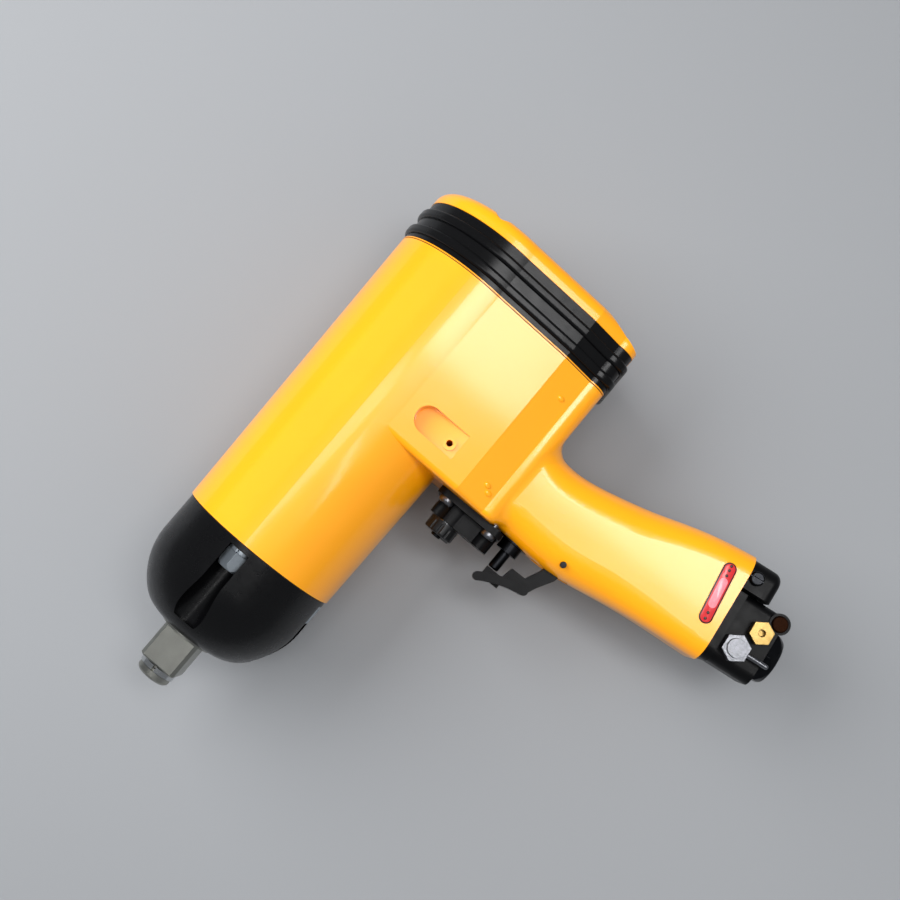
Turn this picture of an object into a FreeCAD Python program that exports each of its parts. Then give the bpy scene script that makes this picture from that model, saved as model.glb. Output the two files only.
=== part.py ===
import FreeCAD, Part
import math
import os

from FreeCAD import Placement, Rotation, Vector

# Air impact wrench with a pistol handle and a 3/4 inch square drive, lying on its right side.
# Millimetres. The origin is on the drive axis, at the shoulder where the square begins.
# -Y points out of the nose, +Y to the rear cover, +X down the handle, +Z to the tool's left.

# --- Driving dimensions -------------------------------------------------------------------------
SQUARE = 19.05              # drive square, across its flats
SQUARE_LENGTH = 18.0
CASE_REAR = 51.6            # joint between the hammer case and the motor housing
HOUSING_REAR = 204.6        # joint between the motor housing and the rear cover
COVER_REAR = 235.2
BARREL_FRONT_R = 40.3
BARREL_REAR_R = 43.2
CASE_R = 39.5
CLUTCH_BORE_R = 30.5
MOTOR_BORE_R = 34.0
MOTOR_FRONT = 100.0         # shoulder that the front end plate seats on
BOLT_CIRCLE_R = 34.5        # hammer case bolts
WEB_FRONT = 127.5           # front face of the web and of the handle's top
LOBE_X = 77.5               # underside of the web and of the rear cover's lobe
SPOOL_X = 59.0              # reverse valve axis
THROTTLE_X = 89.0           # throttle stem axis
TRIGGER_PIVOT = (112.0, 134.0)
HANDLE_SWEEP = 7.2          # degrees that the handle leans to the rear
HANDLE_END = (180.6, 166.5)  # centre of the handle's end face
INLET_T = -9.0              # inlet axis, across the handle's end from its centre
EXHAUST_T = 9.5             # exhaust passage, the same way
SHAFT_R = 7.5               # rotor journals
RUNNING = 0.06              # radial clearance of a running fit
GASKET = 0.5

X, Y, Z = Vector(1, 0, 0), Vector(0, 1, 0), Vector(0, 0, 1)


# --- Helpers ------------------------------------------------------------------------------------
def save(node, shape):
    shape.exportStep("parts/" + node + ".step")


def rod_x(r, x0, x1, y=0.0, z=0.0):
    return Part.makeCylinder(r, x1 - x0, Vector(x0, y, z), X)


def rod_y(r, y0, y1, x=0.0, z=0.0):
    return Part.makeCylinder(r, y1 - y0, Vector(x, y0, z), Y)


def rod_z(r, z0, z1, x=0.0, y=0.0):
    return Part.makeCylinder(r, z1 - z0, Vector(x, y, z0), Z)


def tube_y(r_out, r_in, y0, y1, x=0.0, z=0.0):
    return rod_y(r_out, y0, y1, x, z).cut(rod_y(r_in, y0 - 1, y1 + 1, x, z))


def block(low, high):
    size = Vector(*high) - Vector(*low)
    return Part.makeBox(size.x, size.y, size.z, Vector(*low))


def hexagon_y(flats, y0, y1, x=0.0, z=0.0):
    corner = flats / math.sqrt(3)
    turns = [math.radians(60 * i) for i in range(7)]
    ring = [Vector(x + corner * math.sin(a), y0, z + corner * math.cos(a)) for a in turns]
    return Part.Face(Part.makePolygon(ring)).extrude(Y * (y1 - y0))


def on_circle(radius, degrees):
    a = math.radians(degrees)
    return radius * math.cos(a), radius * math.sin(a)


def ring_groove(ring_r, wire_r, y):
    return Part.makeTorus(ring_r, wire_r, Vector(0, y, 0), Y)


def revolved(outline):
    # a closed outline of edges in the XY plane, with X as the radius, turned about the Y axis
    return Part.Face(Part.Wire(outline)).revolve(Vector(0, 0, 0), Y, 360)


def line(a, b):
    return Part.LineSegment(Vector(*a), Vector(*b)).toShape()


def arc(a, through, b):
    return Part.Arc(Vector(*a), Vector(*through), Vector(*b)).toShape()


def rounded(shape, radius, chosen):
    return shape.makeFillet(radius, [e for e in shape.Edges if chosen(e.BoundBox)])


def chamfered(shape, size, chosen):
    return shape.makeChamfer(size, [e for e in shape.Edges if chosen(e.BoundBox)])


def fused(shapes):
    return shapes[0].multiFuse(shapes[1:]).removeSplitter()


def drilled(shape, tools):
    for tool in tools:
        shape = shape.cut(tool)
    return shape


def coil_y(radius, wire_r, y0, y1, turns, x=0.0, z=0.0):
    # a compression spring along Y, its centreline from y0 + wire_r to y1 - wire_r
    rise = y1 - y0 - 2 * wire_r
    helix = Part.makeHelix(rise / turns, rise, radius)
    section = Part.Wire(Part.makeCircle(wire_r, Vector(radius, 0, 0), Y))
    spring = Part.Wire(helix).makePipeShell([section], True, True)
    spring.rotate(Vector(0, 0, 0), X, -90)
    spring.translate(Vector(x, y0 + wire_r, z))
    return spring


def at_handle_end(shape):
    # from the end's own frame (s out of the handle, t to the rear, z up) to the tool's frame
    turned = shape.copy()
    place = Placement(Vector(HANDLE_END[0], HANDLE_END[1], 0), Rotation(Z, HANDLE_SWEEP))
    turned.transformShape(place.toMatrix())
    return turned


def section_across_x(x, y0, y1, half, corner):
    # a rounded rectangle in the plane X = x, for lofting the handle
    reach = corner * (1 - math.sqrt(0.5))
    edges = [
        line((x, y0 + corner, -half), (x, y1 - corner, -half)),
        arc((x, y1 - corner, -half), (x, y1 - reach, -half + reach), (x, y1, -half + corner)),
        line((x, y1, -half + corner), (x, y1, half - corner)),
        arc((x, y1, half - corner), (x, y1 - reach, half - reach), (x, y1 - corner, half)),
        line((x, y1 - corner, half), (x, y0 + corner, half)),
        arc((x, y0 + corner, half), (x, y0 + reach, half - reach), (x, y0, half - corner)),
        line((x, y0, half - corner), (x, y0, -half + corner)),
        arc((x, y0, -half + corner), (x, y0 + reach, -half + reach), (x, y0 + corner, -half)),
    ]
    return Part.Wire(edges)


# --- Motor housing and handle: one aluminium casting --------------------------------------------
WEB_TOP = (11.0, 41.5)      # where each side face of the web leaves the barrel (X, half width)
WEB_CREASE = (54.0, 31.3)   # crease between the side face and the lower slope
WEB_LOW = (69.0, 24.3)      # where the slope turns under the lobe
WEB_UNDER = 16.0            # half width of the lobe's flat underside
# stations down the handle: X, front edge Y, rear edge Y, half thickness, corner radius
HANDLE_STATIONS = [
    (72.0, 128.6, 177.5, 21.8, 12.5),
    (90.0, 128.0, 171.6, 19.5, 14.0),
    (109.0, 128.0, 174.6, 18.5, 14.0),
    (130.0, 131.4, 180.4, 18.3, 14.0),
    (152.0, 135.4, 187.6, 18.8, 12.0),
    (172.0, 137.9, 192.2, 19.4, 10.5),
    (196.0, 141.2, 198.0, 19.8, 10.0),
]
RECESS_FLOOR = 31.5
VENT_HOLE = (39.0, 142.0)   # in the recess, down into the first port of the reverse valve
LABEL_TOP = 19.6            # height of the handle's side under the label plate


def web_wire(y):
    # the web's sides narrow towards the front with the barrel's taper
    slimmer = max(0.0, HOUSING_REAR - y) * (BARREL_REAR_R - BARREL_FRONT_R) / (HOUSING_REAR - CASE_REAR)
    left = [(x, y, z - slimmer) for x, z in (WEB_TOP, WEB_CREASE, WEB_LOW)]
    left_bend = (LOBE_X - 2.4, y, 22.2 - 0.8 * slimmer)
    right = [(x, y, -z) for x, y, z in left]
    right_bend = (LOBE_X - 2.4, y, -left_bend[2])
    edges = [
        line((0, y, -37), (0, y, 37)),
        line((0, y, 37), left[0]),
        line(left[0], left[1]),
        line(left[1], left[2]),
        arc(left[2], left_bend, (LOBE_X, y, WEB_UNDER)),
        line((LOBE_X, y, WEB_UNDER), (LOBE_X, y, -WEB_UNDER)),
        arc((LOBE_X, y, -WEB_UNDER), right_bend, right[2]),
        line(right[2], right[1]),
        line(right[1], right[0]),
        line(right[0], (0, y, -37)),
    ]
    return Part.Wire(edges)


def rear_outline(grow, y0, y1):
    # the barrel's circle joined with the lobe, grown all round and extruded from y0 to y1
    circle = Part.Face(Part.Wire(Part.makeCircle(BARREL_REAR_R, Vector(0, y0, 0), Y)))
    outline = circle.fuse(Part.Face(web_wire(y0))).removeSplitter().Faces[0]
    if grow:
        outline = outline.makeOffset2D(grow)
    solid = outline.extrude(Y * (y1 - y0))
    return solid.Solids[0] if solid.Solids else solid


COVER_SCREWS = [on_circle(37.5, a) for a in (100, 180, 260)] + [(58.0, 19.0), (58.0, -19.0)]
CASE_BOLTS = [on_circle(BOLT_CIRCLE_R, a) for a in (0, 90, 180, 270)]


def housing_outside():
    length = HOUSING_REAR - CASE_REAR
    barrel = Part.makeCone(BARREL_FRONT_R, BARREL_REAR_R, length, Vector(0, CASE_REAR, 0), Y)
    web = Part.makeLoft([web_wire(WEB_FRONT), web_wire(HOUSING_REAR)], True, True)
    web = rounded(web, 3.0, lambda b: b.YMax < WEB_FRONT + 0.01 and b.XMax > WEB_TOP[0] + 1)
    handle = Part.makeLoft([section_across_x(*s) for s in HANDLE_STATIONS], True, False)
    handle = handle.cut(at_handle_end(block((0, -60, -60), (80, 60, 60))))
    grip = web.fuse(handle).removeSplitter()
    junction = [e for e in grip.Edges if e.Curve.TypeId == "Part::GeomBSplineCurve"
                and e.BoundBox.XMin > LOBE_X - 3 and e.BoundBox.XMax < LOBE_X + 0.1]
    return barrel.fuse(grip.makeFillet(8.0, junction)).removeSplitter()


def side_recess():
    # arch-shaped recess on the left side, with a low boss standing in it round the vent hole
    arch = rod_z(6.5, RECESS_FLOOR, 60, 26, 143.5).fuse(block((26, 137, RECESS_FLOOR), (44, 150, 60)))
    return arch.removeSplitter().cut(rod_z(3.1, 0, RECESS_FLOOR + 1.1, *VENT_HOLE))


def housing():
    body = housing_outside()
    cuts = [
        rod_y(CLUTCH_BORE_R, CASE_REAR - 1, MOTOR_FRONT + 1),
        rod_y(MOTOR_BORE_R, MOTOR_FRONT, HOUSING_REAR + 1),
        # reverse valve bore and its two ports into the motor
        rod_y(8.5, WEB_FRONT - 1, 196, SPOOL_X),
        rod_x(4.0, 30, 52, 140),
        rod_x(4.0, 30, 52, 170),
        # throttle chamber and its port to the reverse valve
        rod_y(8.0, WEB_FRONT - 1, 158, THROTTLE_X),
        rod_x(3.5, 66, 82, 133),
        # slot for the trigger's arm, and its pivot pin hole
        block((100, 120, -5.2), (120, 138.6, 5.2)),
        rod_z(1.5, -30, 30, *TRIGGER_PIVOT),
        # air inlet and exhaust passages along the handle, with the muffler's pocket
        at_handle_end(rod_x(7.0, -93, 1, INLET_T)),
        at_handle_end(rod_x(5.5, -118, 1, EXHAUST_T)),
        at_handle_end(rod_x(7.0, -31, 1, EXHAUST_T)),
        side_recess(),
        rod_z(1.5, 2, 40, *VENT_HOLE),
        label_pocket(),
    ]
    cuts += [rod_y(2.5, CASE_REAR - 1, CASE_REAR + 15, x, z) for x, z in CASE_BOLTS]
    cuts += [rod_y(2.1, 190, HOUSING_REAR + 1, x, z) for x, z in COVER_SCREWS]
    cuts += [rod_y(1.6, 118, WEB_FRONT + 9, x, z) for x, z in BLOCK_SCREWS]
    cuts += [at_handle_end(rod_x(1.6, -14, 1, t, z)) for t, z in END_CAP_SCREWS]
    return drilled(body, cuts)


def label_shape(z0, z1, grow=0.0):
    half, r = 11.8, 3.1 + grow
    pill = rod_z(r, z0, z1, 0, -half).fuse([
        rod_z(r, z0, z1, 0, half), block((-r, -half, z0), (r, half, z1))]).removeSplitter()
    pill.rotate(Vector(0, 0, 0), Z, 4)
    pill.translate(Vector(-8.0, 2.6, 0))
    return at_handle_end(pill)


def label_pocket():
    return label_shape(LABEL_TOP - 0.9, LABEL_TOP + 10, 0.05)


# --- Hammer case, its bolts and the anvil -------------------------------------------------------
def hammer_case():
    rear = CASE_REAR - GASKET
    outline = [
        line((17.5, 2, 0), (18.0, 2, 0)),
        arc((18.0, 2, 0), (23.4, 3.2, 0), (28.0, 6.2, 0)),
        arc((28.0, 6.2, 0), (35.3, 15.6, 0), (CASE_R, 32, 0)),
        line((CASE_R, 32, 0), (CASE_R, rear, 0)),
        line((CASE_R, rear, 0), (25, rear, 0)),
        line((25, rear, 0), (25, 40, 0)),
        line((25, 40, 0), (17.5, 40, 0)),
        line((17.5, 40, 0), (17.5, 2, 0)),
    ]
    case = revolved(outline)
    for x, z in CASE_BOLTS:
        case = case.cut(rod_y(6.9, 9, 48.6, x, z))
        case = case.cut(rod_y(3.2, 40, 60, x, z))
    return case


def case_bolts():
    bolts = []
    for x, z in CASE_BOLTS:
        head = hexagon_y(10, 38.6, 46.8, x, z)
        head = head.common(Part.makeCone(4.6, 9.0, 8.8, Vector(x, 38.2, z), Y))
        bolts.append(head.fuse(rod_y(3.0, 46.8, CASE_REAR, x, z)).fuse(
            rod_y(2.45, CASE_REAR, CASE_REAR + 13, x, z)).removeSplitter())
    return Part.makeCompound(bolts)


def case_washers():
    # split spring washers between the bolt heads and the case
    washers = []
    for x, z in CASE_BOLTS:
        ring = tube_y(5.4, 3.1, 46.9, 48.5, x, z)
        split = block((x - 0.35, 46, z), (x + 0.35, 49, z + 7))
        washers.append(ring.cut(split))
    return Part.makeCompound(washers)


def front_gasket():
    sheet = tube_y(CASE_R - 0.3, CLUTCH_BORE_R + 0.3, CASE_REAR - GASKET, CASE_REAR)
    return drilled(sheet, [rod_y(3.3, 50, 53, x, z) for x, z in CASE_BOLTS])


ANVIL_JAW_R = 15.8
JAW_SPANS = [(59.0, 69.2, 90), (73.8, 84.0, 270)]   # start, end, direction of each jaw


def wedge(r_in, r_out, y0, y1, middle, half_angle):
    # a sector of a ring about the Y axis, centred on an angle from +X towards +Z
    ring = tube_y(r_out, r_in, y0, y1)
    reach = 3 * r_out
    corners = [(0, 0)] + [on_circle(reach, middle + a) for a in (-half_angle, half_angle)]
    points = [Vector(x, y0, z) for x, z in corners + corners[:1]]
    return ring.common(Part.Face(Part.makePolygon(points)).extrude(Y * (y1 - y0)))


def anvil():
    half = SQUARE / 2
    square = block((-half, -SQUARE_LENGTH, -half), (half, 0, half))
    square = chamfered(square, 1.7, lambda b: b.YLength > SQUARE_LENGTH - 1)
    square = chamfered(square, 0.8, lambda b: b.YMax < -SQUARE_LENGTH + 0.1)
    shaft = [
        rod_y(7.0, -21.5, -17),                      # neck under the socket ring
        Part.makeCone(7.2, 8.3, 1.1, Vector(0, -24.5, 0), Y),
        rod_y(8.3, -23.4, -21),                      # lip that holds the ring
        rod_y(14.0, 0, 40.6),
        rod_y(20.0, 40.6, 45.2),                     # thrust collar
        rod_y(10.0, 45, 85.7),
        rod_y(6.0, 85.5, 90.6),                      # rear pilot
    ]
    jaws = [wedge(9, ANVIL_JAW_R, y0, y1, a, 28) for y0, y1, a in JAW_SPANS]
    return fused([square] + shaft + jaws)


def socket_ring():
    ring = tube_y(8.9, 7.6, -20.7, -18.3)
    return ring.cut(block((-0.8, -22, 0), (0.8, -17, 12)))


def socket_ring_oring():
    return Part.makeTorus(7.3, 0.28, Vector(0, -19.5, 0), Y)


def anvil_bushing():
    bush = tube_y(17.45, 14.0 + RUNNING, 8.2, 40)
    return bush.cut(ring_groove(14.0, 1.2, 24))


def anvil_seal():
    seal = tube_y(17.45, 14.4, 3.2, 7.9)
    return seal.cut(tube_y(16.6, 15.4, 2, 5.2))


# --- Twin-hammer clutch -------------------------------------------------------------------------
PIN_CIRCLE_R = 23.5
DOG_SPANS = [(57.7, 70.6), (72.4, 85.3)]
SPLINE_TEETH = 6


def spline(r_root, tooth_r, y0, y1, tooth_half):
    teeth = [rod_y(r_root, y0, y1)]
    for i in range(SPLINE_TEETH // 2):
        bar = block((-tooth_r, y0, -tooth_half), (tooth_r, y1, tooth_half))
        bar.rotate(Vector(0, 0, 0), Y, 360 * i / SPLINE_TEETH)
        teeth.append(bar)
    return fused(teeth)


def hammer_cage():
    front = tube_y(29.5, 17.4, 52.2, 57.0)
    rear = rod_y(29.5, 86.0, 95.6)
    webs = [wedge(24.6, 29.5, 56.9, 86.1, a, 25) for a in (90, 270)]
    cage = fused([front, rear] + webs)
    cage = cage.cut(rod_y(6.0 + RUNNING, 85, 91))
    cage = cage.cut(spline(7.2, 9.1, 90.9, 97, 1.6))
    return drilled(cage, [rod_y(3.2, 53.4, 93.2, x) for x in (PIN_CIRCLE_R, -PIN_CIRCLE_R)])


def hammer_pins():
    return Part.makeCompound(
        [rod_y(3.18, 53.5, 93.1, x) for x in (PIN_CIRCLE_R, -PIN_CIRCLE_R)])


def hammer_dog(span, pivot_x, jaw_angle):
    # a rocking ring: a pivot hole on one pin, a slot on the other, two lobes beside the jaw
    y0, y1 = span
    body = rod_y(27.8, y0, y1).common(block((-30, y0, -20), (30, y1, 20)))
    body = body.cut(rod_y(17.5, y0 - 1, y1 + 1))
    for side in (-60, 60):
        body = body.fuse(wedge(12.2, 17.8, y0, y1, jaw_angle + side, 12))
    body = body.removeSplitter().cut(rod_y(3.18 + RUNNING, y0 - 1, y1 + 1, pivot_x))
    slot = block((-pivot_x - 3.5, y0 - 1, -2.1), (-pivot_x + 3.5, y1 + 1, 2.1))
    for z in (-2.1, 2.1):
        slot = slot.fuse(rod_y(3.5, y0 - 1, y1 + 1, -pivot_x, z))
    return body.cut(slot)


# --- Air motor ----------------------------------------------------------------------------------
ROTOR_FRONT, ROTOR_REAR = 114.5, 186.0
ROTOR_R = 26.5
VANES = 6
VANE_THICK = 3.0
LINER_R = MOTOR_BORE_R - 0.05
LINER_BORE_R = 29.5
LINER_OFFSET = 2.6          # the bore stands off the rotor's axis towards +Z
FRONT_BEARING = (100.0, 111.0)
REAR_BEARING = (189.5, 200.5)
BALLS = 8
BALL_R = 3.0
BALL_CIRCLE_R = 12.6
DOWEL = (0.0, -30.4)


def vane_slots(thick, r_in, r_out, y0, y1):
    slots = []
    for i in range(VANES):
        slot = block((r_in, y0, -thick / 2), (r_out, y1, thick / 2))
        slot.rotate(Vector(0, 0, 0), Y, 360 * (i + 0.5) / VANES)
        slots.append(slot)
    return slots


def rotor():
    body = fused([
        spline(7.0, 8.9, 91.2, 96.2, 1.45),
        rod_y(SHAFT_R, 96.0, 111.2),
        rod_y(9.0, 111.05, ROTOR_FRONT + 0.1),
        rod_y(ROTOR_R, ROTOR_FRONT, ROTOR_REAR),
        rod_y(9.0, ROTOR_REAR - 0.1, 189.45),
        rod_y(SHAFT_R, 189.4, 201.5),
    ])
    return drilled(body, vane_slots(VANE_THICK + 0.2, 15.0, 30, ROTOR_FRONT - 1, ROTOR_REAR + 1))


def rotor_vanes():
    return Part.makeCompound(
        vane_slots(VANE_THICK, 15.4, ROTOR_R - 0.3, ROTOR_FRONT + 0.2, ROTOR_REAR - 0.2))


def cylinder_liner():
    liner = rod_y(LINER_R, 114.1, 186.4).cut(rod_y(LINER_BORE_R, 110, 190, 0, LINER_OFFSET))
    ports = [rod_x(4.0, 20, 40, y) for y in (140, 170)]
    ports += [block((20, y - 2, -12), (40, y + 2, -7)) for y in (125, 150, 175)]
    ports.append(rod_y(2.05, 110, 123, *DOWEL))
    return drilled(liner, ports)


def front_end_plate():
    plate = rod_y(LINER_R, MOTOR_FRONT + 0.05, 114.0)
    plate = plate.cut(rod_y(17.55, 99, FRONT_BEARING[1])).cut(rod_y(9.5, 99, 120))
    kidneys = [wedge(20, 24, 110, 120, a, 18) for a in (0, 180)]
    return drilled(plate, kidneys + [rod_y(2.05, 108, 120, *DOWEL)])


def rear_end_plate():
    plate = rod_y(LINER_R, 186.5, 202.0)
    plate = plate.cut(rod_y(17.55, REAR_BEARING[0], 210)).cut(rod_y(9.5, 180, 210))
    return drilled(plate, [wedge(20, 24, 180, 190, a, 18) for a in (0, 180)])


def bearing_inner(span):
    return tube_y(10.6, SHAFT_R + 0.01, span[0] + 0.1, span[1] - 0.1).cut(
        ring_groove(BALL_CIRCLE_R, BALL_R + 0.35, sum(span) / 2))


def bearing_outer(span):
    return tube_y(17.5, 14.6, span[0] + 0.1, span[1] - 0.1).cut(
        ring_groove(BALL_CIRCLE_R, BALL_R + 0.35, sum(span) / 2))


def bearing_balls(span):
    # the balls and the pressed cage that spaces them
    middle = sum(span) / 2
    cage = tube_y(13.1, 12.1, middle - 4.0, middle + 4.0)
    balls = []
    for i in range(BALLS):
        x, z = on_circle(BALL_CIRCLE_R, 360 * i / BALLS)
        balls.append(Part.makeSphere(BALL_R, Vector(x, middle, z)))
        inner = Vector(x, 0, z) * (1 - 2 / BALL_CIRCLE_R) + Vector(0, middle, 0)
        window = Part.makeCylinder(BALL_R + 0.1, 4, inner, Vector(x, 0, z))
        cage = cage.cut(window)
    return Part.makeCompound([cage] + balls)


# --- Rear cover ---------------------------------------------------------------------------------
COVER_FRONT = HOUSING_REAR + GASKET
COVER_SLOPE = 15.0          # degrees: the cover's back falls away over its lobe
COVER_SLOPE_START = 55.0
SCREW_SEAT = 227.0
BUMPER = (205.8, 226.2)
RIBS = (210.3, 219.6)


def rear_gasket():
    sheet = rear_outline(-0.6, HOUSING_REAR, COVER_FRONT)
    cuts = [rod_y(MOTOR_BORE_R + 0.3, 200, 210)]
    cuts += [rod_y(2.8, 200, 210, x, z) for x, z in COVER_SCREWS]
    return drilled(sheet, cuts)


def rear_cover():
    core = rear_outline(-2.6, COVER_FRONT, BUMPER[1] + 2)
    back = rear_outline(0, BUMPER[1] + 0.2, COVER_REAR)
    back = rounded(back, 6.0, lambda b: b.YMin > COVER_REAR - 0.01)
    slope = block((0, 0, -60), (60, 40, 60))
    slope.rotate(Vector(0, 0, 0), Z, -COVER_SLOPE)
    slope.translate(Vector(COVER_SLOPE_START, COVER_REAR, 0))
    back = back.cut(slope)
    front = rear_outline(0, COVER_FRONT, BUMPER[0] - 0.2)
    cover = fused([core, back, front])
    cuts = [rod_y(31.5, 200, 228), block((30, 200, -11), (70, 224, 11))]
    for x, z in COVER_SCREWS:
        cuts += [rod_y(2.7, 200, 250, x, z), rod_y(4.8, SCREW_SEAT, 250, x, z)]
    return drilled(cover, cuts)


def rear_bumper():
    # a stretched rubber band with two rounded ribs, in the groove round the cover
    band = rear_outline(-0.2, *BUMPER)
    for y in RIBS:
        rib = rear_outline(1.5, y - 2.3, y + 2.3)
        rib = rounded(rib, 1.4, lambda b: b.YLength < 0.01)
        band = band.fuse(rib)
    return band.removeSplitter().cut(rear_outline(-2.5, 200, 235))


def cap_screw(head_r, head_y, head_length, shank_r, tip_y, x, z, key):
    screw = rod_y(head_r, head_y - head_length, head_y, x, z)
    screw = screw.fuse(rod_y(shank_r, tip_y, head_y - head_length, x, z)).removeSplitter()
    return screw.cut(hexagon_y(key, head_y - head_length * 0.55, head_y + 1, x, z))


def cover_screws():
    return Part.makeCompound(
        [cap_screw(4.25, SCREW_SEAT + 4.2, 4.2, 2.08, 190.5, x, z, 4.0) for x, z in COVER_SCREWS])


# --- Reverse valve ------------------------------------------------------------------------------
BLOCK_FRONT = 115.4
BLOCK_FLANGE = 124.0
BLOCK_REAR = WEB_FRONT - 0.1
BLOCK_SCREWS = [(53.0, 10.5), (53.0, -10.5), (77.5, 10.5), (77.5, -10.5)]
STEM_R = 4.0
DETENT_Y = 120.0


def valve_block():
    flange = block((47, BLOCK_FLANGE, -14), (83.2, BLOCK_REAR, 14))
    flange = rounded(flange, 4.0, lambda b: b.YLength > 3 and b.XLength < 0.1)
    boss = block((50.5, BLOCK_FRONT, -8.5), (82.2, BLOCK_FLANGE + 1, 8.5))
    boss = rounded(boss, 3.0, lambda b: b.YLength > 3 and b.XLength < 0.1)
    body = fused([flange, rod_y(9.5, BLOCK_FRONT, BLOCK_FLANGE + 1, SPOOL_X), boss])
    cuts = [rod_y(STEM_R + RUNNING, 110, 130, SPOOL_X), rod_x(2.3, SPOOL_X, 90, DETENT_Y)]
    cuts += [rod_y(2.1, 110, 130, x, z) for x, z in BLOCK_SCREWS]
    cuts += [rod_y(4.3, 110, BLOCK_FLANGE, x, z) for x, z in BLOCK_SCREWS]
    return drilled(body, cuts)


def block_screws():
    screws = []
    for x, z in BLOCK_SCREWS:
        head = rod_y(3.7, BLOCK_FLANGE - 2.6, BLOCK_FLANGE, x, z)
        head = rounded(head, 1.3, lambda b: b.YMax < BLOCK_FLANGE - 2.5)
        head = head.cut(block((x - 3, BLOCK_FLANGE - 3, z - 0.5), (x + 3, BLOCK_FLANGE - 1.4, z + 0.5)))
        screws.append(head.fuse(rod_y(1.58, BLOCK_FLANGE, WEB_FRONT + 8, x, z)).removeSplitter())
    return Part.makeCompound(screws)


def reverse_spool():
    spool = fused([rod_y(8.5 - RUNNING, 128.2, 193, SPOOL_X),
                   rod_y(STEM_R, 111.5, 128.4, SPOOL_X)])
    waists = [tube_y(12, 5.5, y0, y1, SPOOL_X) for y0, y1 in ((136, 144), (154, 176))]
    return drilled(spool, waists)


def reverse_knob():
    knob = rod_y(7.5, 108.6, 115.0, SPOOL_X)
    knob = rounded(knob, 1.2, lambda b: b.YMax < 108.7)
    flutes = []
    for i in range(12):
        x, z = on_circle(8.1, 30 * i)
        flutes.append(rod_y(1.1, 108, 113.6, SPOOL_X + x, z))
    pointer = block((SPOOL_X + 2.6, 107.9, -0.7), (SPOOL_X + 6.4, 109.1, 0.7))
    knob = drilled(knob, flutes).fuse(pointer).removeSplitter()
    bores = [rod_y(STEM_R + 0.03, 111.4, 116, SPOOL_X), rod_y(1.52, 105, 112, SPOOL_X)]
    return drilled(knob, bores)


def knob_screw():
    head = rod_y(2.5, 107.2, 108.6, SPOOL_X)
    head = rounded(head, 0.5, lambda b: b.YMax < 107.3)
    head = head.cut(block((SPOOL_X - 2.6, 106, -0.35), (SPOOL_X + 2.6, 107.9, 0.35)))
    return head.fuse(rod_y(1.48, 108.6, 111.4, SPOOL_X)).removeSplitter()


def detent_ball():
    return Part.makeSphere(2.0, Vector(SPOOL_X + STEM_R + 0.3 + 2.0, DETENT_Y, 0))


def detent_spring():
    spring = coil_y(1.6, 0.3, 0, 9.3, 6)
    spring.rotate(Vector(0, 0, 0), Z, -90)
    spring.translate(Vector(67.6, DETENT_Y, 0))
    return spring


def detent_plug():
    plug = rod_x(2.28, 77, 81.8, DETENT_Y)
    return plug.cut(block((80.8, DETENT_Y - 2.6, -0.4), (84, DETENT_Y + 2.6, 0.4)))


# --- Throttle -----------------------------------------------------------------------------------
THROTTLE_STEM_R = 2.75
STEM_TIP = 112.9
TRIGGER_PAD = 112.5


def throttle_bushing():
    bush = fused([rod_y(5.5, 122.6, 127.8, THROTTLE_X), rod_y(7.95, 127.6, 139, THROTTLE_X)])
    bush = bush.cut(rod_y(THROTTLE_STEM_R + RUNNING, 120, 140, THROTTLE_X))
    bush = bush.cut(rod_y(5.4, 130, 141, THROTTLE_X))
    return bush.cut(rod_x(3.4, THROTTLE_X - 9, THROTTLE_X - 3, 133.4))


def throttle_stem():
    stem = fused([rod_y(THROTTLE_STEM_R, STEM_TIP, 141, THROTTLE_X),
                  rod_y(1.8, 140.5, 150.5, THROTTLE_X)])
    return rounded(stem, 0.9, lambda b: b.YMax < STEM_TIP + 0.01)


def throttle_valve():
    return tube_y(6.9, 1.8, 141.0, 144.6, THROTTLE_X)


def throttle_spring():
    return coil_y(5.2, 0.6, 144.8, 157.9, 4, THROTTLE_X)


def curved_bar(a, middle, b, thick):
    # a bar of even thickness along an arc in the XY plane, with round ends
    path = Part.Arc(Vector(*a, 0), Vector(*middle, 0), Vector(*b, 0)).toShape().Curve
    centre, radius = path.Center, path.Radius

    def shifted(point, by):
        out = (Vector(*point, 0) - centre).normalize()
        return centre + out * (radius + by)

    half = thick / 2
    ends = []
    for point, other in ((a, b), (b, a)):
        away = (Vector(*point, 0) - Vector(*other, 0)).normalize() * half
        ends.append(Vector(*point, 0) + away)
    outer = Part.Arc(shifted(a, half), shifted(middle, half), shifted(b, half)).toShape()
    inner = Part.Arc(shifted(b, -half), shifted(middle, -half), shifted(a, -half)).toShape()
    end_b = Part.Arc(shifted(b, half), ends[1], shifted(b, -half)).toShape()
    end_a = Part.Arc(shifted(a, -half), ends[0], shifted(a, half)).toShape()
    return Part.Face(Part.Wire([outer, end_b, inner, end_a]))


def trigger():
    plate = curved_bar((85.6, 105.8), (95.5, 110.9), (106.2, 113.8), 4.2)
    plate = plate.extrude(Z * 18)
    plate.translate(Vector(0, 0, -9))
    arm_line = [(94.5, 110.5), (96, 118.7), (103.5, 118.9), (107, 126.5), (108, 134),
                (116, 134), (114.5, 126.5), (110, 118.5), (107.6, 112.6), (94.5, 110.5)]
    arm = Part.Face(Part.makePolygon([Vector(x, y, -4.7) for x, y in arm_line]))
    arm = arm.extrude(Z * 9.4)
    boss = rod_z(4.0, -4.7, 4.7, *TRIGGER_PIVOT)
    pad = block((86.3, 107, -3.6), (96.2, TRIGGER_PAD, 3.6))
    body = fused([plate, arm, boss, pad])
    return body.cut(rod_z(1.48 + RUNNING, -20, 20, *TRIGGER_PIVOT))


def trigger_pin():
    return rod_z(1.48, -17.6, 17.6, *TRIGGER_PIVOT)


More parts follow.
